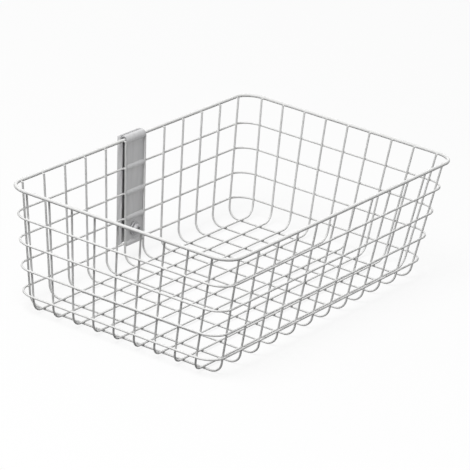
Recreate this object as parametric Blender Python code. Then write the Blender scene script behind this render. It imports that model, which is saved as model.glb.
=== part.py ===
"""Wire basket for a cart, with the clamp bracket that carries it.

The basket is welded from round wire. A heavy rim wire and four ring wires run
round the outside. U-shaped wires stand inside them: the cross wires run from
side to side, and the long wires lie on them and run from end to end. The walls
lean in towards the floor, and the wires of each wall fan in with them.

The bracket clamps the back wall. A channel stands behind the wires, with
notches for the rings and a seat for the rim, and its top rises above the rim. A
ribbed plate stands in front of the wires and hooks over the rim, down to the
channel's web. One screw pulls the plate against the rings, into a nut on the web.

Units are metres, +Z is up and +X runs along the basket. The origin is at the
middle of the whole object's base.
"""

import math

import bmesh
import bpy
from mathutils import Matrix, Vector

# Basket, over the outside of its wires
RIM_LENGTH = 0.4110
RIM_WIDTH = 0.2500
BASKET_HEIGHT = 0.1252

# Walls
WALL_SLOPE = 0.108  # how far a wall leans in for each metre that it goes down
CORNER_RADIUS = 0.0203  # of the rim wire's axis

# Wires, as diameters, counts and places of their axes
RIM_WIRE = 0.0034
BASKET_WIRE = 0.0020
CROSS_WIRES = 12
LONG_WIRES = 9
RINGS = 4
FIRST_RING_DROP = 0.0280  # from the rim down to the first ring
LOWEST_RING_HEIGHT = 0.0177  # from the cross wires on the floor up to the last ring
BEND_RADIUS = 0.0120  # of a U-shaped wire's axis
WIRE_END_DROP = 0.0002  # of a wire's cut end below the rim's axis

# Gap between pieces that are welded together or seated on each other
SEAT_GAP = 0.0003

# Clamp plate
PLATE_THICKNESS = 0.0015
HOOK_TAIL = math.radians(15)  # how far round above the rim's axis the hook ends, behind it

# Channel
CHANNEL_WIDTH = 0.0380
CHANNEL_THICKNESS = 0.0015
FLANGE_SETBACK = 0.0004  # of the flanges' front edges behind the rings' axes
CHANNEL_RISE = 0.0038  # above the rim's axis
CHANNEL_TAIL = 0.0010  # below the last ring's axis
NUT_TRAVEL = 0.0020  # between the nut and the plate, for the screw to take up

# Screw, washer and nut
SCREW_DIAMETER = 0.0060
SCREW_LENGTH = 0.0100
SCREW_HEAD_DIAMETER = 0.0105
SCREW_HEAD_HEIGHT = 0.0033
SOCKET_WIDTH = 0.0040  # across flats
SOCKET_DEPTH = 0.0019
WASHER_DIAMETER = 0.0140
WASHER_THICKNESS = 0.0018
NUT_WIDTH = 0.0100  # across flats
NUT_THICKNESS = 0.0032
HOLE_DIAMETER = 0.0066  # of every hole that a screw passes through

# Facets of the round shapes
WIRE_SIDES = 8
RIM_SIDES = 12
BEND_STEPS = 6
CORNER_STEPS = 8
RIB_STEPS = 8
HOOK_STEPS = 20
NOTCH_SIDES = 16
HOLE_SIDES = 24
CUT_MARGIN = 0.0010  # how far a cutter runs past what it cuts

RIM_RADIUS = RIM_WIRE / 2
WIRE_RADIUS = BASKET_WIRE / 2
SLOPE_ANGLE = math.atan(WALL_SLOPE)

# Heights of the wires' axes
CROSS_FLOOR_Z = WIRE_RADIUS
LONG_FLOOR_Z = CROSS_FLOOR_Z + BASKET_WIRE + SEAT_GAP
RIM_Z = BASKET_HEIGHT - RIM_RADIUS
WIRE_END_Z = RIM_Z - WIRE_END_DROP
FIRST_RING_Z = RIM_Z - FIRST_RING_DROP
LAST_RING_Z = CROSS_FLOOR_Z + LOWEST_RING_HEIGHT

# Half sizes of the rim wire's axis
RIM_HALF_LENGTH = RIM_LENGTH / 2 - RIM_RADIUS
RIM_HALF_WIDTH = RIM_WIDTH / 2 - RIM_RADIUS

# Distances square to a wall, from the axes of the wires that stand in it
RIM_OFFSET = WIRE_RADIUS + SEAT_GAP + RIM_RADIUS
RING_OFFSET = WIRE_RADIUS + SEAT_GAP + WIRE_RADIUS

# Places along the wall's outward normal, from the same axes
PLATE_FLAT = RING_OFFSET - PLATE_THICKNESS / 2
FLANGE_FRONT = RING_OFFSET + FLANGE_SETBACK
WEB_FRONT = PLATE_FLAT + PLATE_THICKNESS / 2 + NUT_TRAVEL + NUT_THICKNESS + SEAT_GAP
WEB_BACK = WEB_FRONT + CHANNEL_THICKNESS

# Bends of the plate's sheet, along its middle. A rib curves about its ring's axis. The hook
# curves about the rim's axis, and its back stands against the web.
RIB_RADIUS = WIRE_RADIUS + SEAT_GAP + PLATE_THICKNESS / 2
RIB_START = math.acos((RING_OFFSET - PLATE_FLAT) / RIB_RADIUS)
HOOK_RADIUS = WEB_FRONT - SEAT_GAP - PLATE_THICKNESS / 2 - RIM_OFFSET
HOOK_START = math.acos((RIM_OFFSET - PLATE_FLAT) / HOOK_RADIUS)


def clear_scene():
    for thing in list(bpy.data.objects):
        bpy.data.objects.remove(thing, do_unlink=True)


def surface(name, colour, roughness, metallic):
    """A material with one Principled shader."""
    material = bpy.data.materials.new(name)
    material.use_nodes = True
    shader = material.node_tree.nodes["Principled BSDF"]
    shader.inputs["Base Color"].default_value = (*colour, 1.0)
    shader.inputs["Roughness"].default_value = roughness
    shader.inputs["Metallic"].default_value = metallic
    return material


def shape_object(name, shape, material, parent):
    """An object that holds a bmesh, shaded smooth up to its edges."""
    bmesh.ops.recalc_face_normals(shape, faces=shape.faces)
    mesh = bpy.data.meshes.new(name)
    shape.to_mesh(mesh)
    shape.free()
    mesh.shade_smooth()
    mesh.set_sharp_from_angle(angle=math.radians(50))
    mesh.materials.append(material)
    thing = bpy.data.objects.new(name, mesh)
    bpy.context.collection.objects.link(thing)
    thing.parent = parent
    return thing


def cut(thing, cutter):
    """Cuts one object with another, which is kept as a hidden helper."""
    cutter.hide_render = True
    cutter.display_type = "WIRE"
    modifier = thing.modifiers.new("cut by " + cutter.name, "BOOLEAN")
    modifier.operation = "DIFFERENCE"
    modifier.solver = "EXACT"
    modifier.object = cutter


def arc_point(centre, radius, start, side, angle):
    """A point on an arc, turned from the direction start towards the direction side."""
    return centre + radius * (math.cos(angle) * start + math.sin(angle) * side)


def rounded_path(corners, radius, steps, closed):
    """The corners of a path, each one replaced by an arc that touches both its sides."""
    count = len(corners)
    points = []
    for index, corner in enumerate(corners):
        if not closed and index in (0, count - 1):
            points.append(corner)
            continue
        back = (corners[index - 1] - corner).normalized()
        ahead = (corners[(index + 1) % count] - corner).normalized()
        half = back.angle(ahead) / 2
        centre = corner + (back + ahead).normalized() * radius / math.sin(half)
        start = (corner + back * radius / math.tan(half) - centre).normalized()
        for step in range(steps + 1):
            angle = (math.pi - 2 * half) * step / steps
            points.append(arc_point(centre, radius, start, -back, angle))
    return points


def swept(path, plane_normal, section, closed=False):
    """A section carried along a path that lies in a plane, with mitred joints.

    A section point is a distance along the plane's normal and one square to it.
    """
    shape = bmesh.new()
    count = len(path)
    rings = []
    for index, point in enumerate(path):
        before = path[index - 1] if index or closed else None
        after = path[(index + 1) % count] if index < count - 1 or closed else None
        arriving = (point - before).normalized() if before else None
        leaving = (after - point).normalized() if after else None
        arriving = arriving or leaving
        leaving = leaving or arriving
        along = (arriving + leaving).normalized()
        across = along.cross(plane_normal)
        stretch = 1 / math.cos(arriving.angle(leaving, 0.0) / 2)
        rings.append(
            [
                shape.verts.new(point + plane_normal * out + across * side * stretch)
                for out, side in section
            ]
        )
    sides = len(section)
    for index in range(count if closed else count - 1):
        ring = rings[index]
        after = rings[(index + 1) % count]
        for side in range(sides):
            turn = (side + 1) % sides
            shape.faces.new((ring[side], ring[turn], after[turn], after[side]))
    if not closed:
        shape.faces.new(rings[0])
        shape.faces.new(reversed(rings[-1]))
    return shape


def wire_section(radius, sides, turn=0.0):
    """A polygon with flats at the wire's radius. Its first flat faces along the plane's normal."""
    reach = radius / math.cos(math.pi / sides)
    angles = [2 * math.pi * (side + 0.5) / sides + turn for side in range(sides)]
    return [(reach * math.cos(angle), reach * math.sin(angle)) for angle in angles]


def turned(profile, sides):
    """A profile of distances from the Z axis and heights, turned round that axis.

    A profile that starts and ends on the axis makes a solid piece, and any other a ring.
    """
    shape = bmesh.new()
    solid = profile[0][0] == 0.0
    stations = []
    for radius, height in profile:
        if radius == 0.0:
            stations.append([shape.verts.new((0.0, 0.0, height))] * sides)
            continue
        angles = [2 * math.pi * side / sides for side in range(sides)]
        stations.append(
            [
                shape.verts.new((radius * math.cos(angle), radius * math.sin(angle), height))
                for angle in angles
            ]
        )
    pairs = list(zip(stations, stations[1:]))
    if not solid:
        pairs.append((stations[-1], stations[0]))
    for lower, upper in pairs:
        for side in range(sides):
            turn = (side + 1) % sides
            corners = [lower[side], lower[turn], upper[turn], upper[side]]
            shape.faces.new(dict.fromkeys(corners))
    return shape


def wall_length(height):
    """Half the distance between the axes of the wires that stand in the end walls."""
    inset = RIM_OFFSET / math.cos(SLOPE_ANGLE)
    return RIM_HALF_LENGTH - inset - WALL_SLOPE * (RIM_Z - height)


def wall_width(height):
    """Half the distance between the axes of the wires that stand in the side walls."""
    inset = RIM_OFFSET / math.cos(SLOPE_ANGLE)
    return RIM_HALF_WIDTH - inset - WALL_SLOPE * (RIM_Z - height)


def cross_wire_place(number, height):
    """Where a cross wire stands along the basket. The outermost stand where the corners start."""
    reach = RIM_HALF_LENGTH - CORNER_RADIUS - WALL_SLOPE * (RIM_Z - height)
    return reach * (2 * number / (CROSS_WIRES - 1) - 1)


def long_wire_place(number, height):
    """Where a long wire stands across the basket. The outermost stand where the corners start."""
    reach = RIM_HALF_WIDTH - CORNER_RADIUS - WALL_SLOPE * (RIM_Z - height)
    return reach * (1 - 2 * number / (LONG_WIRES - 1))


def ring_heights():
    """The heights of the rings' axes, from the first one down."""
    step = (FIRST_RING_Z - LAST_RING_Z) / (RINGS - 1)
    return [FIRST_RING_Z - step * number for number in range(RINGS)]


def loop_wire(name, half_length, half_width, height, corner, radius, sides, material, parent):
    """A closed wire that lies level, with rounded corners."""
    corners = [
        Vector((half_length, half_width, height)),
        Vector((-half_length, half_width, height)),
        Vector((-half_length, -half_width, height)),
        Vector((half_length, -half_width, height)),
    ]
    path = rounded_path(corners, corner, CORNER_STEPS, closed=True)
    shape = swept(path, Vector((0, 0, 1)), wire_section(radius, sides), closed=True)
    return shape_object(name, shape, material, parent)


def u_wire(name, top, floor, direction, material, parent):
    """A wire that comes down one wall, crosses the floor and goes up the opposite wall.

    Top and floor are the far wall's upper end and corner, and direction is the run's own.
    """
    corners = [
        top - 2 * top.dot(direction) * direction,
        floor - 2 * floor.dot(direction) * direction,
        floor,
        top,
    ]
    path = rounded_path(corners, BEND_RADIUS, BEND_STEPS, closed=False)
    plane_normal = direction.cross(top - floor).normalized()
    tilt = math.asin(plane_normal.z)
    section = wire_section(WIRE_RADIUS, WIRE_SIDES, tilt)
    return shape_object(name, swept(path, plane_normal, section), material, parent)


def make_rim(material, parent):
    return loop_wire(
        "rim_wire",
        RIM_HALF_LENGTH,
        RIM_HALF_WIDTH,
        RIM_Z,
        CORNER_RADIUS,
        RIM_RADIUS,
        RIM_SIDES,
        material,
        parent,
    )


def make_rings(material, parent):
    outset = RING_OFFSET / math.cos(SLOPE_ANGLE)
    corner = CORNER_RADIUS - (RIM_OFFSET - RING_OFFSET) / math.cos(SLOPE_ANGLE)
    for number, height in enumerate(ring_heights(), start=1):
        loop_wire(
            f"ring_wire_{number}",
            wall_length(height) + outset,
            wall_width(height) + outset,
            height,
            corner,
            WIRE_RADIUS,
            WIRE_SIDES,
            material,
            parent,
        )


def make_cross_wires(material, parent):
    for number in range(CROSS_WIRES):
        top = Vector((cross_wire_place(number, WIRE_END_Z), wall_width(WIRE_END_Z), WIRE_END_Z))
        floor = Vector(
            (cross_wire_place(number, CROSS_FLOOR_Z), wall_width(CROSS_FLOOR_Z), CROSS_FLOOR_Z)
        )
        name = f"cross_wire_{number + 1:02d}"
        u_wire(name, top, floor, Vector((0, 1, 0)), material, parent)


def make_long_wires(material, parent):
    for number in range(LONG_WIRES):
        top = Vector((wall_length(WIRE_END_Z), long_wire_place(number, WIRE_END_Z), WIRE_END_Z))
        floor = Vector(
            (wall_length(LONG_FLOOR_Z), long_wire_place(number, LONG_FLOOR_Z), LONG_FLOOR_Z)
        )
        name = f"long_wire_{number + 1}"
        u_wire(name, top, floor, Vector((1, 0, 0)), material, parent)


class WallFrame:
    """The back wall's own frame, between the two cross wires that the bracket stands between.

    Its +Y is the wall's outward normal, and its +Z runs up the wall.
    """

    def __init__(self):
        self.left = CROSS_WIRES // 2 - 1
        middle = self.middle(RIM_Z)
        origin = Vector((middle, wall_width(RIM_Z), RIM_Z))
        self.matrix = Matrix.Translation(origin) @ Matrix.Rotation(-SLOPE_ANGLE, 4, "X")
        self.rim_z = self.height_of(RIM_Z, RIM_OFFSET)
        self.ring_z = [self.height_of(height, RING_OFFSET) for height in ring_heights()]

    def middle(self, height):
        sides = [cross_wire_place(self.left + step, height) for step in (0, 1)]
        return sum(sides) / 2

    def height_of(self, height, offset):
        """Where a level wire's axis lies up the wall, at its offset from the wall."""
        outset = offset / math.cos(SLOPE_ANGLE)
        point = Vector((0, wall_width(height) + outset, height))
        return (self.matrix.inverted() @ point).z

    def free_half_width(self, wall_z):
        """Half the room between the two wires, which stand closer together lower down."""
        height = (self.matrix @ Vector((0, 0, wall_z))).z
        sides = [cross_wire_place(self.left + step, height) for step in (0, 1)]
        reach = WIRE_RADIUS / math.cos(math.pi / WIRE_SIDES)
        return (sides[1] - sides[0]) / 2 - reach - SEAT_GAP

    def screw_z(self):
        return (self.ring_z[-1] + self.ring_z[-2]) / 2

    def mounting_hole_z(self):
        """The holes for the screws that hold the channel to the cart."""
        rows = [self.rim_z] + self.ring_z
        return [(rows[0] + rows[1]) / 2, (rows[-3] + rows[-2]) / 2]


def plate_path(wall):
    """The middle of the plate's sheet from its foot to the end of its hook."""
    inward = Vector((0, -1, 0))
    up = Vector((0, 0, 1))
    points = []
    for ring_z in reversed(wall.ring_z):
        centre = Vector((0, RING_OFFSET, ring_z))
        for step in range(RIB_STEPS + 1):
            angle = RIB_START * (2 * step / RIB_STEPS - 1)
            points.append(arc_point(centre, RIB_RADIUS, inward, up, angle))
    centre = Vector((0, RIM_OFFSET, wall.rim_z))
    sweep = HOOK_START + math.pi - HOOK_TAIL
    for step in range(HOOK_STEPS + 1):
        angle = sweep * step / HOOK_STEPS - HOOK_START
        points.append(arc_point(centre, HOOK_RADIUS, inward, up, angle))
    return points


def hole_cutter(name, places, parent):
    """Round cutters that run along the wall's normal, right through the bracket."""
    shape = bmesh.new()
    length = WEB_BACK - PLATE_FLAT + PLATE_THICKNESS + 2 * CUT_MARGIN
    for height in places:
        place = Matrix.Translation((0, WEB_BACK + CUT_MARGIN - length / 2, height))
        bmesh.ops.create_cone(
            shape,
            cap_ends=True,
            segments=HOLE_SIDES,
            radius1=HOLE_DIAMETER / 2,
            radius2=HOLE_DIAMETER / 2,
            depth=length,
            matrix=place @ Matrix.Rotation(math.pi / 2, 4, "X"),
        )
    mesh = bpy.data.meshes.new(name)
    shape.to_mesh(mesh)
    shape.free()
    cutter = bpy.data.objects.new(name, mesh)
    bpy.context.collection.objects.link(cutter)
    cutter.parent = parent
    return cutter


def make_plate(wall, material, parent):
    """The plate. Its sides follow the two wires that it stands between."""
    half_sheet = PLATE_THICKNESS / 2
    section = [(-1, -half_sheet), (1, -half_sheet), (1, half_sheet), (-1, half_sheet)]
    shape = swept(plate_path(wall), Vector((1, 0, 0)), section)
    for corner in shape.verts:
        corner.co.x *= wall.free_half_width(corner.co.z)
    plate = shape_object("clamp_plate", shape, material, parent)
    cut(plate, hole_cutter("plate_hole_cutter", [wall.screw_z()], parent))


def notch_cutter(wall, parent):
    """Cuts the rings' notches and the rim's open seat through both flanges."""
    shape = bmesh.new()
    length = CHANNEL_WIDTH + 2 * CUT_MARGIN
    radius = WIRE_RADIUS / math.cos(math.pi / WIRE_SIDES) + SEAT_GAP
    for ring_z in wall.ring_z:
        place = Matrix.Translation((0, RING_OFFSET, ring_z))
        bmesh.ops.create_cone(
            shape,
            cap_ends=True,
            segments=NOTCH_SIDES,
            radius1=radius,
            radius2=radius,
            depth=length,
            matrix=place @ Matrix.Rotation(math.pi / 2, 4, "Y"),
        )
    seat_back = RIM_OFFSET + RIM_RADIUS / math.cos(math.pi / RIM_SIDES) + SEAT_GAP
    seat_front = FLANGE_FRONT - CUT_MARGIN
    seat_foot = wall.rim_z - RIM_RADIUS - SEAT_GAP
    seat_top = wall.rim_z + CHANNEL_RISE + CUT_MARGIN
    middle = Vector((0, (seat_front + seat_back) / 2, (seat_foot + seat_top) / 2))
    size = Matrix.Diagonal((length, seat_back - seat_front, seat_top - seat_foot, 1))
    bmesh.ops.create_cube(shape, size=1.0, matrix=Matrix.Translation(middle) @ size)
    mesh = bpy.data.meshes.new("notch_cutter")
    shape.to_mesh(mesh)
    shape.free()
    cutter = bpy.data.objects.new("notch_cutter", mesh)
    bpy.context.collection.objects.link(cutter)
    cutter.parent = parent
    return cutter


def make_channel(wall, material, parent):
    outer = CHANNEL_WIDTH / 2
    inner = outer - CHANNEL_THICKNESS
    section = [
        (-outer, FLANGE_FRONT),
        (-outer, WEB_BACK),
        (outer, WEB_BACK),
        (outer, FLANGE_FRONT),
        (inner, FLANGE_FRONT),
        (inner, WEB_FRONT),
        (-inner, WEB_FRONT),
        (-inner, FLANGE_FRONT),
    ]
    foot = Vector((0, 0, wall.ring_z[-1] - CHANNEL_TAIL))
    top = Vector((0, 0, wall.rim_z + CHANNEL_RISE))
    # The path runs up, so that across the section is the wall's outward normal.
    shape = swept([foot, top], Vector((1, 0, 0)), section)
    channel = shape_object("mounting_channel", shape, material, parent)
    cut(channel, notch_cutter(wall, parent))
    holes = wall.mounting_hole_z() + [wall.screw_z()]
    cut(channel, hole_cutter("channel_hole_cutter", holes, parent))


def hexagon(width, thickness):
    """A solid hexagonal prism along Z, from zero up."""
    shape = bmesh.new()
    bmesh.ops.create_cone(
        shape,
        cap_ends=True,
        segments=6,
        radius1=width / 2 / math.cos(math.pi / 6),
        radius2=width / 2 / math.cos(math.pi / 6),
        depth=thickness,
        matrix=Matrix.Translation((0, 0, thickness / 2)),
    )
    return shape


def make_fasteners(wall, material, parent):
    """The screw, its washer and the nut, on an axis that points out of the basket's back."""
    axis = bpy.data.objects.new("screw_axis", None)
    bpy.context.collection.objects.link(axis)
    axis.parent = parent
    axis.location = (0, 0, wall.screw_z())
    axis.rotation_euler = (-math.pi / 2, 0, 0)
    plate_front = PLATE_FLAT - PLATE_THICKNESS / 2
    washer_back = plate_front - SEAT_GAP
    washer_front = washer_back - WASHER_THICKNESS
    head_back = washer_front - SEAT_GAP
    head_front = head_back - SCREW_HEAD_HEIGHT

    bore = HOLE_DIAMETER / 2
    profile = [
        (bore, washer_front),
        (WASHER_DIAMETER / 2, washer_front),
        (WASHER_DIAMETER / 2, washer_back),
        (bore, washer_back),
    ]
    shape_object("screw_washer", turned(profile, HOLE_SIDES), material, axis)

    head = SCREW_HEAD_DIAMETER / 2
    face = SOCKET_WIDTH * 0.75
    shank = SCREW_DIAMETER / 2
    profile = [(0.0, head_front), (face, head_front)]
    for step in range(1, BEND_STEPS + 1):
        angle = math.pi / 2 * step / BEND_STEPS
        radius = face + (head - face) * math.sin(angle)
        profile.append((radius, head_back - SCREW_HEAD_HEIGHT * math.cos(angle)))
    tip = head_back + SCREW_LENGTH
    profile += [(shank, head_back), (shank, tip), (0.0, tip)]
    screw = shape_object("clamp_screw", turned(profile, HOLE_SIDES), material, axis)
    socket = shape_object(
        "socket_cutter", hexagon(SOCKET_WIDTH, SOCKET_DEPTH + CUT_MARGIN), material, axis
    )
    socket.location = (0, 0, head_front - CUT_MARGIN)
    cut(screw, socket)

    nut = shape_object("channel_nut", hexagon(NUT_WIDTH, NUT_THICKNESS), material, axis)
    nut.location = (0, 0, WEB_FRONT - SEAT_GAP - NUT_THICKNESS)
    cut(nut, hole_cutter("nut_hole_cutter", [wall.screw_z()], parent))


def back_reach(wall):
    """How far the top of the channel stands behind the basket's middle."""
    return (wall.matrix @ Vector((0, WEB_BACK, wall.rim_z + CHANNEL_RISE))).y


def main():
    clear_scene()
    coating = surface("white powder coat", (0.86, 0.86, 0.86), 0.38, 0.0)
    sheet = surface("satin grey bracket", (0.70, 0.70, 0.71), 0.48, 0.2)
    plating = surface("zinc plated fastener", (0.60, 0.60, 0.62), 0.35, 0.9)

    wall = WallFrame()
    basket = bpy.data.objects.new("basket_frame", None)
    bpy.context.collection.objects.link(basket)
    basket.location = (0, (RIM_WIDTH / 2 - back_reach(wall)) / 2, 0)
    bracket = bpy.data.objects.new("bracket_frame", None)
    bpy.context.collection.objects.link(bracket)
    bracket.parent = basket
    bracket.matrix_local = wall.matrix

    make_rim(coating, basket)
    make_rings(coating, basket)
    make_cross_wires(coating, basket)
    make_long_wires(coating, basket)
    make_plate(wall, sheet, bracket)
    make_channel(wall, sheet, bracket)
    make_fasteners(wall, plating, bracket)
    bpy.context.view_layer.update()


main()
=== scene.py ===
"""Looks of the wire basket and its clamp bracket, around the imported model. Units are metres."""

import math

import bpy
from mathutils import Matrix, Vector


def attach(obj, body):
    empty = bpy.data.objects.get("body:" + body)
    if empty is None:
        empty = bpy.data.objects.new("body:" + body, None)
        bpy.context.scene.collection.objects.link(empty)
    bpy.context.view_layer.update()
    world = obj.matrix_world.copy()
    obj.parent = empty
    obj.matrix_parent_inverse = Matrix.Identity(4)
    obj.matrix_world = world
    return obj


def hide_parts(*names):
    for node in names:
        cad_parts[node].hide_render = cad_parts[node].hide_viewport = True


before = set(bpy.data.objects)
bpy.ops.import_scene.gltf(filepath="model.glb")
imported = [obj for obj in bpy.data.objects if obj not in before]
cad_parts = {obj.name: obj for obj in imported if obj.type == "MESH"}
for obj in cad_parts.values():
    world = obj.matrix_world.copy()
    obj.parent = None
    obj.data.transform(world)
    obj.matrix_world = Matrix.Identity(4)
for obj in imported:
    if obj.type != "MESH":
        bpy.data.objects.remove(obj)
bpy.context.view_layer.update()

# Camera of the photograph, as placed for a picture of 470 by 470
CAMERA_PLACE = Vector((-2.46505, -1.47007, 1.16326))
CAMERA_AIM = Vector((0.80248, 0.47644, -0.35922))
CAMERA_ROLL = math.radians(6.90)
FOCAL_PIXELS = 3207.7
PICTURE_PIXELS = 470
SENSOR_MM = 36.0
CLIP_NEAR = 0.05
CLIP_FAR = 50.0

# Basket, with the places of its wires' axes
BASKET_MIDDLE = Vector((0, -0.0024858, 0))
SLOPE = 0.108
SLOPE_ANGLE = math.atan(SLOPE)
RIM_RADIUS = 0.0017
WIRE_RADIUS = 0.0010
RIM_Z = 0.1235
RIM_HALF_LENGTH = 0.2038
RIM_HALF_WIDTH = 0.1233
RIM_OFFSET = 0.0030  # of the rim from the wires that stand in a wall, square to the wall
RING_OFFSET = 0.0023  # of a ring, likewise
RING_HEIGHTS = (0.0955, 0.0699, 0.0443, 0.0187)
CORNER_RADIUS = 0.0203
CROSS_WIRES = 12
CROSS_FLOOR_Z = 0.0010
LONG_WIRES = 9
LONG_FLOOR_Z = 0.0033
BEND_RADIUS = 0.0120
WIRE_END_Z = 0.1233

# Welds, as half sizes of a bead in the wall and square to it
WELD_WIDTH = 0.00095
WELD_HEIGHT = 0.0007
RIM_WELD_DROP = 0.0006  # of the rim's beads below the ends of the wires

# Clamp plate and channel, in the back wall's frame
SHEET = 0.0015
PLATE_FLAT = 0.00155
PLATE_HALF_WIDTH = 0.01558  # at the rim's height
PLATE_TAPER = 0.00982  # loss of half width for each metre down
PLATE_BLANK = 0.020  # half width of its sheet before the sides are cut
PLATE_EDGE = 0.00025  # rounding of its cut edges
RIB_RADIUS = 0.0025  # of its sheet's middle
RIB_ROUNDING = 0.0002  # where a rib or the hook leaves the flat
HOOK_RADIUS = 0.00375  # of its sheet's middle
HOOK_TAIL = math.radians(15)  # how far round above the rim's axis the hook ends, behind it
CHANNEL_HALF_WIDTH = 0.0190
FLANGE_FRONT = 0.0027
WEB_FRONT = 0.0078
WEB_BACK = 0.0093
CHANNEL_RISE = 0.0038  # above the rim's axis
CHANNEL_TAIL = 0.0010  # below the last ring's axis
CHANNEL_BEND = 0.0015  # radius of its sheet's middle
CHANNEL_EDGE = 0.0002  # rounding of its cut edges
NOTCH_GAP = 0.0003  # round a ring, and below the rim in its seat
SEAT_GAP = 0.00035  # behind the rim in its seat
HOLE_RADIUS = 0.0033

# Screw, washer and nut, as places out from the wall's wires
WASHER_RADIUS = 0.0070
WASHER_FRONT = -0.0013
WASHER_BACK = 0.0005
WASHER_EDGE = 0.00015
HEAD_RADIUS = 0.00525
HEAD_FACE = 0.0030
HEAD_FRONT = -0.0049
HEAD_BACK = -0.0016
HEAD_EDGE = 0.0003  # rounding between the dome and the underside
SHANK_RADIUS = 0.0030
SHANK_TIP = 0.0084
SHANK_CHAMFER = 0.0005
SOCKET_RADIUS = 0.00231
SOCKET_DEPTH = 0.0019
SOCKET_CHAMFER = 0.0004
NUT_RADIUS = 0.00577
NUT_FRONT = 0.0043
NUT_BACK = 0.0075
NUT_EDGE = 0.0003

# Cutters, long enough to pass right through the bracket
HOLE_CUTTER = 0.030
HOLE_CUTTER_MIDDLE = 0.004  # out from the wall's wires
ACROSS_CUTTER = 0.050
SEAT_CUTTER_HEIGHT = 0.010


def place_camera():
    """The photograph's camera: a long lens that looks down into the basket from one corner."""
    data = bpy.data.cameras.new("camera")
    data.sensor_width = SENSOR_MM
    data.lens = SENSOR_MM * FOCAL_PIXELS / PICTURE_PIXELS
    data.clip_start = CLIP_NEAR
    data.clip_end = CLIP_FAR
    camera = bpy.data.objects.new("camera", data)
    bpy.context.collection.objects.link(camera)
    aim = CAMERA_AIM.normalized()
    level = aim.cross(Vector((0, 0, 1))).normalized()
    level_up = level.cross(aim)
    right = math.cos(CAMERA_ROLL) * level + math.sin(CAMERA_ROLL) * level_up
    up = right.cross(aim)
    turn = Matrix((right, up, -aim)).transposed().to_4x4()
    camera.matrix_world = Matrix.Translation(CAMERA_PLACE) @ turn
    bpy.context.scene.camera = camera


# Places in the basket


def wall_length(height):
    """Half the distance between the axes of the wires that stand in the end walls."""
    return RIM_HALF_LENGTH - RIM_OFFSET / math.cos(SLOPE_ANGLE) - SLOPE * (RIM_Z - height)


def wall_width(height):
    """Half the distance between the axes of the wires that stand in the side walls."""
    return RIM_HALF_WIDTH - RIM_OFFSET / math.cos(SLOPE_ANGLE) - SLOPE * (RIM_Z - height)


def cross_place(number, height):
    reach = RIM_HALF_LENGTH - CORNER_RADIUS - SLOPE * (RIM_Z - height)
    return reach * (2 * number / (CROSS_WIRES - 1) - 1)


def long_place(number, height):
    reach = RIM_HALF_WIDTH - CORNER_RADIUS - SLOPE * (RIM_Z - height)
    return reach * (1 - 2 * number / (LONG_WIRES - 1))


WALL_FRAME = (
    Matrix.Translation(BASKET_MIDDLE + Vector((0, wall_width(RIM_Z), RIM_Z)))
    @ Matrix.Rotation(-SLOPE_ANGLE, 4, "X")
)


def height_on_wall(height, offset):
    """Where a level wire's axis lies up the back wall, at its offset from the wall."""
    outset = offset / math.cos(SLOPE_ANGLE)
    point = BASKET_MIDDLE + Vector((0, wall_width(height) + outset, height))
    return (WALL_FRAME.inverted() @ point).z


RIM_ON_WALL = height_on_wall(RIM_Z, RIM_OFFSET)
RINGS_ON_WALL = [height_on_wall(height, RING_OFFSET) for height in RING_HEIGHTS]
SCREW_ON_WALL = (RINGS_ON_WALL[2] + RINGS_ON_WALL[3]) / 2
SCREW_FRAME = (
    WALL_FRAME
    @ Matrix.Translation((0, 0, SCREW_ON_WALL))
    @ Matrix.Rotation(-math.pi / 2, 4, "X")
)
MOUNTING_HOLES = [
    (RIM_ON_WALL + RINGS_ON_WALL[0]) / 2,
    (RINGS_ON_WALL[1] + RINGS_ON_WALL[2]) / 2,
]


# Modelling

PLAIN_SMOOTH = 40  # degrees up to which an edge is shown smooth
TURNED_SMOOTH = 35
BEAD_SMOOTH = 60
BEND_ANGLE = math.radians(30)  # from which a sheet's bend is rounded
EDGE_ANGLE = math.radians(50)  # from which a cut edge is rounded
MERGE_REACH = 0.00002  # within which two corners become one


def edit():
    """Opens the active object for editing, with all of it selected."""
    bpy.ops.object.mode_set(mode="EDIT")
    bpy.ops.mesh.select_mode(type="VERT")
    bpy.ops.mesh.select_all(action="SELECT")


def done(name, smooth=PLAIN_SMOOTH):
    """Closes the active object, with its normals outward and its edges sharp or smooth."""
    bpy.ops.mesh.select_all(action="SELECT")
    bpy.ops.mesh.normals_make_consistent(inside=False)
    bpy.ops.object.mode_set(mode="OBJECT")
    bpy.ops.object.shade_smooth_by_angle(angle=math.radians(smooth))
    piece = bpy.context.object
    piece.name = name
    piece.data.name = name
    return piece


def start_circle(place, along, radius, sides):
    """A ring of edges square to a direction, open for editing."""
    bpy.ops.object.select_all(action="DESELECT")
    turn = along.to_track_quat("Z", "Y").to_euler()
    bpy.ops.mesh.primitive_circle_add(
        vertices=sides, radius=radius, fill_type="NOTHING", location=place, rotation=turn
    )
    bpy.ops.object.transform_apply(location=True, rotation=True, scale=True)
    edit()


def extrude(move):
    bpy.ops.mesh.extrude_region_move(TRANSFORM_OT_translate={"value": move})


def spin(centre, axis, angle, steps):
    """Sweeps the selection round an axis, counter-clockwise for a positive angle."""
    bpy.ops.mesh.spin(steps=steps, angle=-angle, center=centre, axis=axis)


def sweep(start, corners, radius, steps):
    """Carries the selection from start past the corners, each rounded, to the last one."""
    here = start
    for corner, after in zip(corners, corners[1:]):
        arriving = (corner - here).normalized()
        leaving = (after - corner).normalized()
        turn = arriving.angle(leaving)
        setback = radius * math.tan(turn / 2)
        extrude(corner - arriving * setback - here)
        centre = corner + (leaving - arriving).normalized() * radius / math.cos(turn / 2)
        spin(centre, arriving.cross(leaving).normalized(), turn, steps)
        here = corner + leaving * setback
    extrude(corners[-1] - here)


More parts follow.
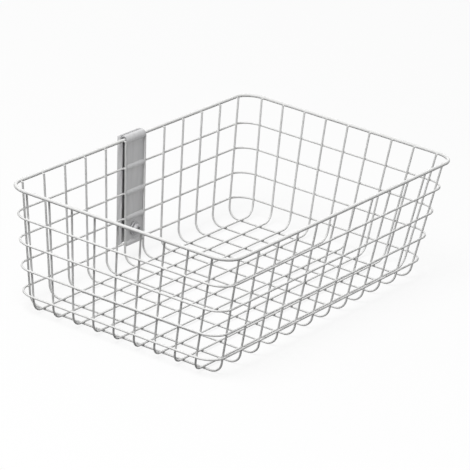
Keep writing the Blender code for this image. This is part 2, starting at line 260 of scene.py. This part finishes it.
def close_ends(sides, inset, rise):
    """Closes both ends of a tube with a slightly raised face."""
    bpy.ops.mesh.select_all(action="SELECT")
    bpy.ops.mesh.fill_holes(sides=0)
    bpy.ops.mesh.normals_make_consistent(inside=False)
    bpy.ops.mesh.select_mode(type="FACE")
    bpy.ops.mesh.select_face_by_sides(number=sides, type="EQUAL", extend=False)
    bpy.ops.mesh.inset(thickness=inset, depth=rise, use_individual=True)


def apply_modifier(piece, kind, **settings):
    modifier = piece.modifiers.new(kind.lower(), kind)
    for name, value in settings.items():
        setattr(modifier, name, value)
    bpy.context.view_layer.objects.active = piece
    bpy.ops.object.modifier_apply(modifier=modifier.name)


def cut(piece, cutter):
    """Takes a cutter out of a piece, and then takes the cutter away."""
    apply_modifier(piece, "BOOLEAN", operation="DIFFERENCE", solver="EXACT", object=cutter)
    bpy.data.objects.remove(cutter, do_unlink=True)


def cylinder(sides, radius, depth, place, turn=(0, 0, 0)):
    bpy.ops.object.select_all(action="DESELECT")
    bpy.ops.mesh.primitive_cylinder_add(
        vertices=sides, radius=radius, depth=depth, location=place, rotation=turn
    )
    return bpy.context.object


def settle(piece, place, name, smooth=PLAIN_SMOOTH):
    """Takes a piece from the frame in which it was modelled to its place, and closes it."""
    bpy.ops.object.select_all(action="DESELECT")
    piece.select_set(True)
    bpy.context.view_layer.objects.active = piece
    piece.matrix_world = place
    bpy.ops.object.transform_apply(location=True, rotation=True, scale=True)
    edit()
    return done(name, smooth)


# Wires

WIRE_SIDES = 16
RIM_SIDES = 24
BEND_STEPS = 10
CORNER_STEPS = 14
END_INSET = 0.0002
END_RISE = 0.00006


def loop_tube(name, half_length, half_width, height, corner, radius, sides):
    """A closed wire that lies level, with rounded corners."""
    start = BASKET_MIDDLE + Vector((0, -half_width, height))
    corners = [
        BASKET_MIDDLE + Vector((x * half_length, y * half_width, height))
        for x, y in ((1, -1), (1, 1), (-1, 1), (-1, -1))
    ]
    start_circle(start, Vector((1, 0, 0)), radius, sides)
    sweep(start, corners + [start], corner, CORNER_STEPS)
    bpy.ops.mesh.select_all(action="SELECT")
    bpy.ops.mesh.remove_doubles(threshold=MERGE_REACH)
    return done(name)


def u_tube(name, top, floor, direction):
    """A wire that comes down one wall, crosses the floor and goes up the opposite wall."""
    corners = [
        floor - 2 * floor.dot(direction) * direction + BASKET_MIDDLE,
        floor + BASKET_MIDDLE,
        top + BASKET_MIDDLE,
    ]
    start = top - 2 * top.dot(direction) * direction + BASKET_MIDDLE
    start_circle(start, corners[0] - start, WIRE_RADIUS, WIRE_SIDES)
    sweep(start, corners, BEND_RADIUS, BEND_STEPS)
    close_ends(WIRE_SIDES, END_INSET, END_RISE)
    return done(name)


def make_wires():
    """Every wire as a piece that stands for its CAD node."""
    wires = {}
    wires["rim_wire"] = loop_tube(
        "rim_tube", RIM_HALF_LENGTH, RIM_HALF_WIDTH, RIM_Z, CORNER_RADIUS, RIM_RADIUS, RIM_SIDES
    )
    outset = RING_OFFSET / math.cos(SLOPE_ANGLE)
    corner = CORNER_RADIUS - (RIM_OFFSET - RING_OFFSET) / math.cos(SLOPE_ANGLE)
    for number, height in enumerate(RING_HEIGHTS, start=1):
        wires[f"ring_wire_{number}"] = loop_tube(
            f"ring_tube_{number}",
            wall_length(height) + outset,
            wall_width(height) + outset,
            height,
            corner,
            WIRE_RADIUS,
            WIRE_SIDES,
        )
    for number in range(CROSS_WIRES):
        top = Vector((cross_place(number, WIRE_END_Z), wall_width(WIRE_END_Z), WIRE_END_Z))
        floor = Vector(
            (cross_place(number, CROSS_FLOOR_Z), wall_width(CROSS_FLOOR_Z), CROSS_FLOOR_Z)
        )
        wires[f"cross_wire_{number + 1:02d}"] = u_tube(
            f"cross_tube_{number + 1:02d}", top, floor, Vector((0, 1, 0))
        )
    for number in range(LONG_WIRES):
        top = Vector((wall_length(WIRE_END_Z), long_place(number, WIRE_END_Z), WIRE_END_Z))
        floor = Vector(
            (wall_length(LONG_FLOOR_Z), long_place(number, LONG_FLOOR_Z), LONG_FLOOR_Z)
        )
        wires[f"long_wire_{number + 1}"] = u_tube(
            f"long_tube_{number + 1}", top, floor, Vector((1, 0, 0))
        )
    for node, piece in wires.items():
        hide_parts(node)
    return list(wires.values())


# Welds

BEAD_SEGMENTS = 8
BEAD_RINGS = 5


def leg_places(height):
    """Every standing wire at a height, as its place and its wall's outward normal."""
    lean = math.sin(SLOPE_ANGLE)
    out = math.cos(SLOPE_ANGLE)
    legs = []
    for number in range(CROSS_WIRES):
        for side in (-1, 1):
            place = Vector((cross_place(number, height), side * wall_width(height), height))
            legs.append((place, Vector((0, side * out, -lean))))
    for number in range(LONG_WIRES):
        for side in (-1, 1):
            place = Vector((side * wall_length(height), long_place(number, height), height))
            legs.append((place, Vector((side * out, 0, -lean))))
    return legs


def weld_beads(name, beads):
    """Beads of one size, each given by its place and the direction between its two wires."""
    bpy.ops.object.select_all(action="DESELECT")
    bpy.ops.mesh.primitive_plane_add(location=(0, 0, 0))
    edit()
    bpy.ops.mesh.delete(type="VERT")
    for place, between in beads:
        bpy.ops.mesh.primitive_uv_sphere_add(
            segments=BEAD_SEGMENTS,
            ring_count=BEAD_RINGS,
            radius=1.0,
            location=place + BASKET_MIDDLE,
            rotation=between.to_track_quat("Z", "Y").to_euler(),
            scale=(WELD_WIDTH, WELD_WIDTH, WELD_HEIGHT),
        )
    return done(name, BEAD_SMOOTH)


def make_welds():
    """A bead wherever two wires are welded."""
    ring_beads = []
    for height in RING_HEIGHTS:
        for place, out in leg_places(height):
            ring_beads.append((place + out * RING_OFFSET / 2, out))
    rim_beads = []
    for place, out in leg_places(WIRE_END_Z - RIM_WELD_DROP):
        rim_beads.append((place + out * (WIRE_RADIUS + RIM_OFFSET - RIM_RADIUS) / 2, out))
    floor_beads = []
    middle = (CROSS_FLOOR_Z + LONG_FLOOR_Z) / 2
    for number in range(CROSS_WIRES):
        for other in range(LONG_WIRES):
            place = Vector(
                (cross_place(number, CROSS_FLOOR_Z), long_place(other, LONG_FLOOR_Z), middle)
            )
            floor_beads.append((place, Vector((0, 0, 1))))
    return [
        weld_beads("ring_welds", ring_beads),
        weld_beads("rim_welds", rim_beads),
        weld_beads("floor_welds", floor_beads),
    ]


# Clamp plate and channel

RIB_STEPS = 12
HOOK_STEPS = 28
CHANNEL_STEPS = 8
NOTCH_SIDES = 32
ROUND_SIDES = 48


def start_edge(place, reach=0.001):
    """One edge, level and across the wall, open for editing. Reach is half its length."""
    bpy.ops.object.select_all(action="DESELECT")
    bpy.ops.mesh.primitive_plane_add(size=2 * reach, location=place)
    bpy.ops.object.transform_apply(location=True, rotation=True, scale=True)
    edit()
    bpy.ops.mesh.bisect(
        plane_co=place, plane_no=(0, 1, 0), clear_inner=True, clear_outer=True
    )
    bpy.ops.mesh.select_all(action="SELECT")


def cut_hole(piece, height):
    """Drills a screw hole through a sheet, along the wall's normal."""
    place = (0, HOLE_CUTTER_MIDDLE, height)
    cut(piece, cylinder(ROUND_SIDES, HOLE_RADIUS, HOLE_CUTTER, place, (math.pi / 2, 0, 0)))


def make_plate():
    """The ribbed strip of sheet that stands before the wires and hooks over the rim."""
    axis = Vector((1, 0, 0))
    rib_turn = math.acos((RING_OFFSET - PLATE_FLAT) / RIB_RADIUS)
    rib_rise = RIB_RADIUS * math.sin(rib_turn)
    here = RINGS_ON_WALL[-1] - rib_rise
    start_edge(Vector((0, PLATE_FLAT, here)), PLATE_BLANK)
    for ring_z in reversed(RINGS_ON_WALL):
        if ring_z != RINGS_ON_WALL[-1]:
            extrude((0, 0, ring_z - rib_rise - here))
        spin((0, RING_OFFSET, ring_z), axis, -2 * rib_turn, RIB_STEPS)
        here = ring_z + rib_rise
    hook_turn = math.acos((RIM_OFFSET - PLATE_FLAT) / HOOK_RADIUS)
    extrude((0, 0, RIM_ON_WALL - HOOK_RADIUS * math.sin(hook_turn) - here))
    hook_sweep = hook_turn + math.pi - HOOK_TAIL
    spin((0, RIM_OFFSET, RIM_ON_WALL), axis, -hook_sweep, HOOK_STEPS)
    for side in (-1, 1):
        bpy.ops.mesh.select_all(action="SELECT")
        bpy.ops.mesh.bisect(
            plane_co=(side * PLATE_HALF_WIDTH, 0, 0),
            plane_no=(side, 0, -PLATE_TAPER),
            clear_outer=True,
        )
    plate = done("clamp_plate_sheet")
    apply_modifier(plate, "BEVEL", width=RIB_ROUNDING, segments=3, angle_limit=BEND_ANGLE)
    apply_modifier(plate, "SOLIDIFY", thickness=SHEET, offset=0.0, use_even_offset=True)
    cut_hole(plate, SCREW_ON_WALL)
    apply_modifier(plate, "BEVEL", width=PLATE_EDGE, segments=3, angle_limit=EDGE_ANGLE)
    plate = settle(plate, WALL_FRAME, "clamp_plate_sheet")
    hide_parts("clamp_plate")
    return plate


def make_channel():
    """The bent sheet behind the wires, with notches for the rings and a seat for the rim."""
    middle = CHANNEL_HALF_WIDTH - SHEET / 2
    web = (WEB_FRONT + WEB_BACK) / 2
    foot = RINGS_ON_WALL[-1] - CHANNEL_TAIL
    top = RIM_ON_WALL + CHANNEL_RISE
    start = Vector((-middle, FLANGE_FRONT, foot))
    start_edge(start)
    bpy.ops.mesh.merge(type="CENTER")
    bpy.ops.mesh.select_all(action="SELECT")
    bpy.ops.mesh.extrude_vertices_move(TRANSFORM_OT_translate={"value": (0, 0, top - foot)})
    bpy.ops.mesh.select_all(action="SELECT")
    corners = [
        Vector((-middle, web, foot)),
        Vector((middle, web, foot)),
        Vector((middle, FLANGE_FRONT, foot)),
    ]
    sweep(start, corners, CHANNEL_BEND, CHANNEL_STEPS)
    channel = done("mounting_channel_sheet")
    apply_modifier(channel, "SOLIDIFY", thickness=SHEET, offset=0.0, use_even_offset=True)
    for ring_z in RINGS_ON_WALL:
        notch = cylinder(
            NOTCH_SIDES,
            WIRE_RADIUS + NOTCH_GAP,
            ACROSS_CUTTER,
            (0, RING_OFFSET, ring_z),
            (0, math.pi / 2, 0),
        )
        cut(channel, notch)
    seat_back = RIM_OFFSET + RIM_RADIUS + SEAT_GAP
    seat_foot = RIM_ON_WALL - RIM_RADIUS - NOTCH_GAP
    size = Vector((ACROSS_CUTTER, seat_back, SEAT_CUTTER_HEIGHT))
    bpy.ops.object.select_all(action="DESELECT")
    bpy.ops.mesh.primitive_cube_add(
        size=1.0, location=(0, seat_back / 2, seat_foot + size.z / 2), scale=size
    )
    cut(channel, bpy.context.object)
    for height in MOUNTING_HOLES + [SCREW_ON_WALL]:
        cut_hole(channel, height)
    apply_modifier(channel, "BEVEL", width=CHANNEL_EDGE, segments=2, angle_limit=EDGE_ANGLE)
    channel = settle(channel, WALL_FRAME, "mounting_channel_sheet")
    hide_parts("mounting_channel")
    return channel


# Fasteners, turned along Z and then stood on the wall's normal

DOME_STEPS = 8


def lathe(profile):
    """An open turned shell through the profile's radii and heights, left open for editing."""
    radius, height = profile[0]
    start_circle(Vector((0, 0, height)), Vector((0, 0, 1)), radius, ROUND_SIDES)
    for after, level in profile[1:]:
        extrude((0, 0, level - height))
        factor = after / radius
        bpy.ops.transform.resize(
            value=(factor, factor, 1), center_override=(0, 0, level), orient_type="GLOBAL"
        )
        radius, height = after, level


def dome_profile():
    """The screw's dome, a quarter of an ellipse from the edge of its face to its side."""
    wide = HEAD_RADIUS - HEAD_FACE
    foot = HEAD_BACK - HEAD_EDGE
    points = []
    for step in range(DOME_STEPS + 1):
        angle = math.pi / 2 * step / DOME_STEPS
        radius = HEAD_FACE + wide * math.sin(angle)
        points.append((radius, foot - (foot - HEAD_FRONT) * math.cos(angle)))
    return points


def make_screw():
    """A button head screw with a hexagon socket."""
    profile = dome_profile() + [
        (HEAD_RADIUS - HEAD_EDGE / 3, HEAD_BACK - HEAD_EDGE / 3),
        (HEAD_RADIUS - HEAD_EDGE, HEAD_BACK),
        (SHANK_RADIUS, HEAD_BACK),
        (SHANK_RADIUS, SHANK_TIP - SHANK_CHAMFER),
        (SHANK_RADIUS - SHANK_CHAMFER, SHANK_TIP),
    ]
    lathe(profile)
    bpy.ops.mesh.select_all(action="SELECT")
    bpy.ops.mesh.fill_holes(sides=0)
    screw = done("clamp_screw_body", TURNED_SMOOTH)
    cut(screw, cylinder(6, SOCKET_RADIUS, 2 * SOCKET_DEPTH, (0, 0, HEAD_FRONT)))
    bpy.ops.object.select_all(action="DESELECT")
    bpy.ops.mesh.primitive_cone_add(
        vertices=ROUND_SIDES,
        radius1=SOCKET_RADIUS + SOCKET_CHAMFER,
        radius2=SOCKET_RADIUS - SOCKET_CHAMFER,
        depth=2 * SOCKET_CHAMFER,
        location=(0, 0, HEAD_FRONT),
    )
    cut(screw, bpy.context.object)
    screw = settle(screw, SCREW_FRAME, "clamp_screw_body", TURNED_SMOOTH)
    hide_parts("clamp_screw")
    return screw


def make_washer():
    profile = [
        (HOLE_RADIUS, WASHER_FRONT + WASHER_EDGE),
        (HOLE_RADIUS + WASHER_EDGE, WASHER_FRONT),
        (WASHER_RADIUS - WASHER_EDGE, WASHER_FRONT),
        (WASHER_RADIUS, WASHER_FRONT + WASHER_EDGE),
        (WASHER_RADIUS, WASHER_BACK - WASHER_EDGE),
        (WASHER_RADIUS - WASHER_EDGE, WASHER_BACK),
        (HOLE_RADIUS, WASHER_BACK),
    ]
    lathe(profile + profile[:1])
    bpy.ops.mesh.select_all(action="SELECT")
    bpy.ops.mesh.remove_doubles(threshold=MERGE_REACH)
    washer = done("washer_disc", TURNED_SMOOTH)
    washer = settle(washer, SCREW_FRAME, "washer_disc", TURNED_SMOOTH)
    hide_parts("screw_washer")
    return washer


def make_nut():
    """A hexagon nut with chamfered corners."""
    height = NUT_BACK - NUT_FRONT
    middle = (0, 0, (NUT_FRONT + NUT_BACK) / 2)
    nut = cylinder(6, NUT_RADIUS, height, middle)
    bpy.ops.object.transform_apply(location=True, rotation=True, scale=True)
    cut(nut, cylinder(ROUND_SIDES, HOLE_RADIUS, 2 * height, middle))
    apply_modifier(nut, "BEVEL", width=NUT_EDGE, segments=2, angle_limit=EDGE_ANGLE)
    nut = settle(nut, SCREW_FRAME, "nut_body", TURNED_SMOOTH)
    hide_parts("channel_nut")
    return nut


# Studio

FLOOR_SIZE = 12.0
FLOOR_GLOW = 0.85  # share of the floor's white that no shadow takes away
FLOOR_PALE = 0.94  # colour of the rest, in which the shadows lie
FLOOR_BOUNCE = 0.06  # how pale the floor is for light that reaches the basket from it
SKY_STRENGTH = 0.31  # of the even light from all round
LAMPS = {
    # name: (place, size, power)
    "left_softbox": ((-1.62, 0.10, 3.26), 1.8, 96.0),
    "front_softbox": ((-3.05, -1.50, 1.35), 1.2, 6.0),
    "back_softbox": ((2.97, 1.67, 1.30), 1.2, 12.0),
}


def seen_directly(tree):
    """1 for light that the camera sees itself, in gloss or through glass, and 0 for the rest."""
    path = tree.nodes.new("ShaderNodeLightPath")
    first = tree.nodes.new("ShaderNodeMath")
    first.operation = "MAXIMUM"
    second = tree.nodes.new("ShaderNodeMath")
    second.operation = "MAXIMUM"
    tree.links.new(path.outputs["Is Camera Ray"], first.inputs[0])
    tree.links.new(path.outputs["Is Glossy Ray"], first.inputs[1])
    tree.links.new(first.outputs[0], second.inputs[0])
    tree.links.new(path.outputs["Is Transmission Ray"], second.inputs[1])
    return second.outputs[0]


def make_floor():
    bpy.ops.object.select_all(action="DESELECT")
    bpy.ops.mesh.primitive_plane_add(size=FLOOR_SIZE, location=(0, 0, 0))
    floor = bpy.context.object
    floor.name = "studio_floor"
    material = bpy.data.materials.new("studio floor")
    material.use_nodes = True
    tree = material.node_tree
    tree.nodes.clear()
    output = tree.nodes.new("ShaderNodeOutputMaterial")
    glow = tree.nodes.new("ShaderNodeEmission")
    glow.inputs["Color"].default_value = (1, 1, 1, 1)
    glow.inputs["Strength"].default_value = 1.0
    pale = tree.nodes.new("ShaderNodeBsdfDiffuse")
    pale.inputs["Color"].default_value = (FLOOR_PALE, FLOOR_PALE, FLOOR_PALE, 1)
    seen = tree.nodes.new("ShaderNodeMixShader")
    seen.inputs["Fac"].default_value = FLOOR_GLOW
    tree.links.new(pale.outputs[0], seen.inputs[1])
    tree.links.new(glow.outputs[0], seen.inputs[2])
    dim = tree.nodes.new("ShaderNodeBsdfDiffuse")
    dim.inputs["Color"].default_value = (FLOOR_BOUNCE, FLOOR_BOUNCE, FLOOR_BOUNCE, 1)
    choice = tree.nodes.new("ShaderNodeMixShader")
    tree.links.new(seen_directly(tree), choice.inputs["Fac"])
    tree.links.new(dim.outputs[0], choice.inputs[1])
    tree.links.new(seen.outputs[0], choice.inputs[2])
    tree.links.new(choice.outputs[0], output.inputs["Surface"])
    floor.data.materials.append(material)


def make_world():
    world = bpy.data.worlds.new("studio")
    bpy.context.scene.world = world
    world.use_nodes = True
    tree = world.node_tree
    tree.nodes.clear()
    output = tree.nodes.new("ShaderNodeOutputWorld")
    white = tree.nodes.new("ShaderNodeBackground")
    white.inputs["Color"].default_value = (1, 1, 1, 1)
    white.inputs["Strength"].default_value = 1.0
    sky = tree.nodes.new("ShaderNodeBackground")
    sky.inputs["Color"].default_value = (1, 1, 1, 1)
    sky.inputs["Strength"].default_value = SKY_STRENGTH
    choice = tree.nodes.new("ShaderNodeMixShader")
    tree.links.new(seen_directly(tree), choice.inputs["Fac"])
    tree.links.new(sky.outputs[0], choice.inputs[1])
    tree.links.new(white.outputs[0], choice.inputs[2])
    tree.links.new(choice.outputs[0], output.inputs["Surface"])


def make_lamps():
    for name, (place, size, power) in LAMPS.items():
        data = bpy.data.lights.new(name, "AREA")
        data.shape = "DISK"
        data.size = size
        data.energy = power
        lamp = bpy.data.objects.new(name, data)
        bpy.context.collection.objects.link(lamp)
        lamp.location = place
        lamp.rotation_euler = (-Vector(place)).to_track_quat("-Z", "Y").to_euler()


# Materials


class Tree:
    """A material's nodes, with short ways to add the ones that every material here uses."""

    def __init__(self, name):
        self.material = bpy.data.materials.new(name)
        self.material.use_nodes = True
        self.nodes = self.material.node_tree.nodes
        self.links = self.material.node_tree.links
        self.shader = self.nodes["Principled BSDF"]
        self.places = self.nodes.new("ShaderNodeTexCoord").outputs["Object"]

    def noise(self, scale, detail=2.0, stretch=(1, 1, 1)):
        """Noise in the object's own space, drawn out along an axis whose stretch is low."""
        mapping = self.nodes.new("ShaderNodeMapping")
        mapping.inputs["Scale"].default_value = stretch
        self.links.new(self.places, mapping.inputs["Vector"])
        node = self.nodes.new("ShaderNodeTexNoise")
        node.inputs["Scale"].default_value = scale
        node.inputs["Detail"].default_value = detail
        self.links.new(mapping.outputs["Vector"], node.inputs["Vector"])
        return node.outputs["Fac"]

    def spread(self, value, low, high):
        """A noise value of about 0.3 to 0.7, taken to between low and high."""
        node = self.nodes.new("ShaderNodeMapRange")
        node.inputs["From Min"].default_value = 0.3
        node.inputs["From Max"].default_value = 0.7
        node.inputs["To Min"].default_value = low
        node.inputs["To Max"].default_value = high
        self.links.new(value, node.inputs["Value"])
        return node.outputs["Result"]

    def blend(self, factor, first, second):
        """One colour or another, by a factor."""
        node = self.nodes.new("ShaderNodeMix")
        node.data_type = "RGBA"
        node.inputs["A"].default_value = (*first, 1.0)
        node.inputs["B"].default_value = (*second, 1.0)
        self.links.new(factor, node.inputs["Factor"])
        return node.outputs["Result"]

    def bump(self, value, strength, distance):
        node = self.nodes.new("ShaderNodeBump")
        node.inputs["Strength"].default_value = strength
        node.inputs["Distance"].default_value = distance
        self.links.new(value, node.inputs["Height"])
        self.links.new(node.outputs["Normal"], self.shader.inputs["Normal"])

    def give(self, value, name):
        self.links.new(value, self.shader.inputs[name])


def powder_coat():
    """White powder coat: slightly uneven in tone and gloss, with a fine orange peel."""
    tree = Tree("white powder coat")
    tone = tree.spread(tree.noise(55.0), 0.0, 1.0)
    tree.give(tree.blend(tone, (0.83, 0.83, 0.82), (0.89, 0.89, 0.885)), "Base Color")
    tree.give(tree.spread(tree.noise(240.0), 0.34, 0.46), "Roughness")
    tree.shader.inputs["Specular IOR Level"].default_value = 0.2
    tree.bump(tree.noise(1400.0, detail=1.0), strength=0.12, distance=0.0002)
    return tree.material


def satin_sheet():
    """Grey sheet metal with a fine grain down its length."""
    tree = Tree("satin grey sheet")
    grain = tree.noise(260.0, detail=3.0, stretch=(1.0, 1.0, 0.06))
    tone = tree.spread(grain, 0.0, 1.0)
    tree.give(tree.blend(tone, (0.59, 0.59, 0.595), (0.65, 0.65, 0.655)), "Base Color")
    gloss = tree.noise(700.0, stretch=(1.0, 1.0, 0.04))
    tree.give(tree.spread(gloss, 0.58, 0.68), "Roughness")
    tree.shader.inputs["Metallic"].default_value = 0.6
    tree.shader.inputs["Specular IOR Level"].default_value = 0.3
    scratches = tree.noise(1200.0, stretch=(1.0, 1.0, 0.05))
    tree.bump(scratches, strength=0.10, distance=0.0002)
    return tree.material


def zinc_plating():
    """Dull zinc plated steel, with cloudy patches."""
    tree = Tree("zinc plated steel")
    tone = tree.spread(tree.noise(420.0, detail=3.0), 0.0, 1.0)
    tree.give(tree.blend(tone, (0.44, 0.44, 0.45), (0.55, 0.55, 0.56)), "Base Color")
    tree.give(tree.spread(tree.noise(900.0), 0.60, 0.74), "Roughness")
    tree.shader.inputs["Metallic"].default_value = 0.6
    tree.bump(tree.noise(2600.0, detail=1.0), strength=0.08, distance=0.0001)
    return tree.material


def dress(pieces, material):
    for piece in pieces:
        piece.data.materials.clear()
        piece.data.materials.append(material)
        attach(piece, "root")


wires = make_wires()
welds = make_welds()
plate = make_plate()
channel = make_channel()
fasteners = [make_screw(), make_washer(), make_nut()]
dress(wires + welds, powder_coat())
dress([plate, channel], satin_sheet())
dress(fasteners, zinc_plating())

place_camera()
make_floor()
make_world()
make_lamps()

scene = bpy.context.scene
scene.view_settings.view_transform = "Standard"
